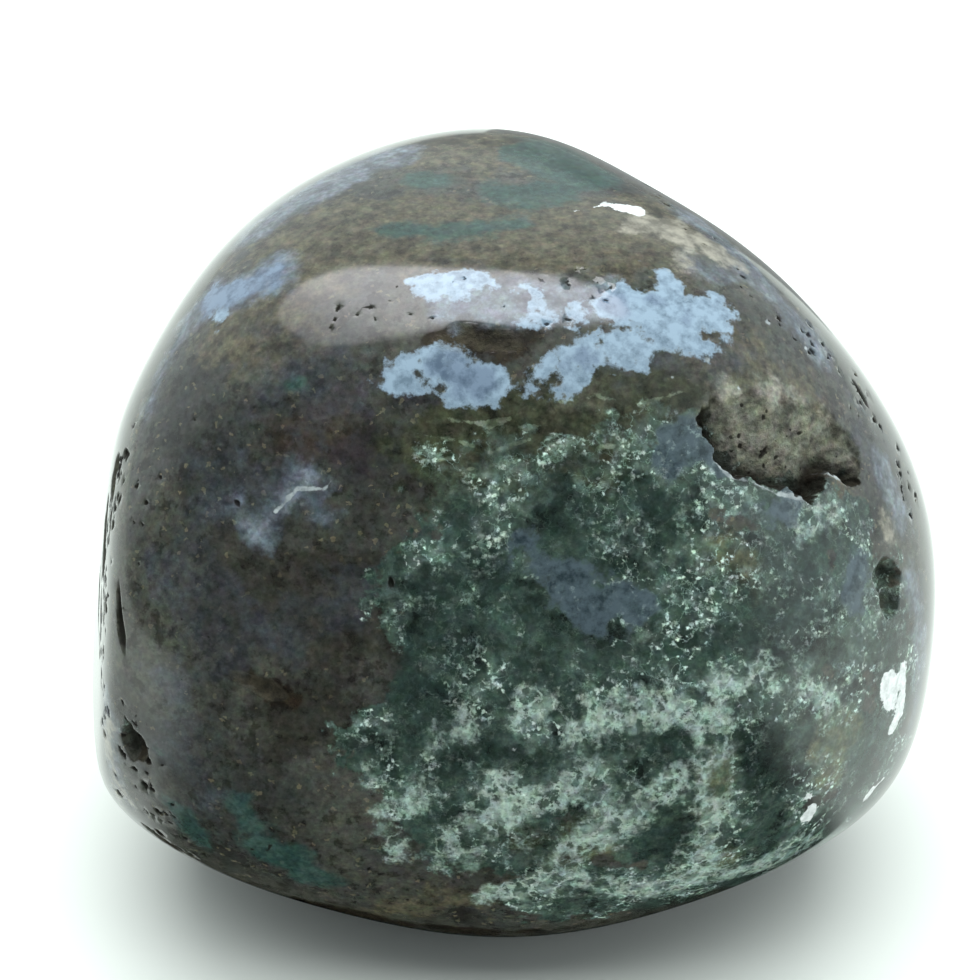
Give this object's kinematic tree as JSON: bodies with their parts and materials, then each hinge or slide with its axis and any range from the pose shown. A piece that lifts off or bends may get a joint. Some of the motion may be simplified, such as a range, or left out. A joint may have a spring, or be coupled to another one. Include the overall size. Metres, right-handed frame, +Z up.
{
  "type": "moss agate",
  "caption": "Rounded, polished lump of green moss agate with blue-white chalcedony patches, a shallow dish in its face and small pits, resting on a worn flat spot.",
  "frame": {"origin": "middle of the bounding box's underside, on the surface that the stone rests on", "axes": "+Z up, +X along the stone's width, -Y towards the viewer of its mossy face"},
  "size_m": [0.06, 0.0494, 0.0503],
  "materials": {
    "agate": "polished"
  },
  "bodies": {
    "root": {"stone": "agate"}
  },
  "joints": []
}
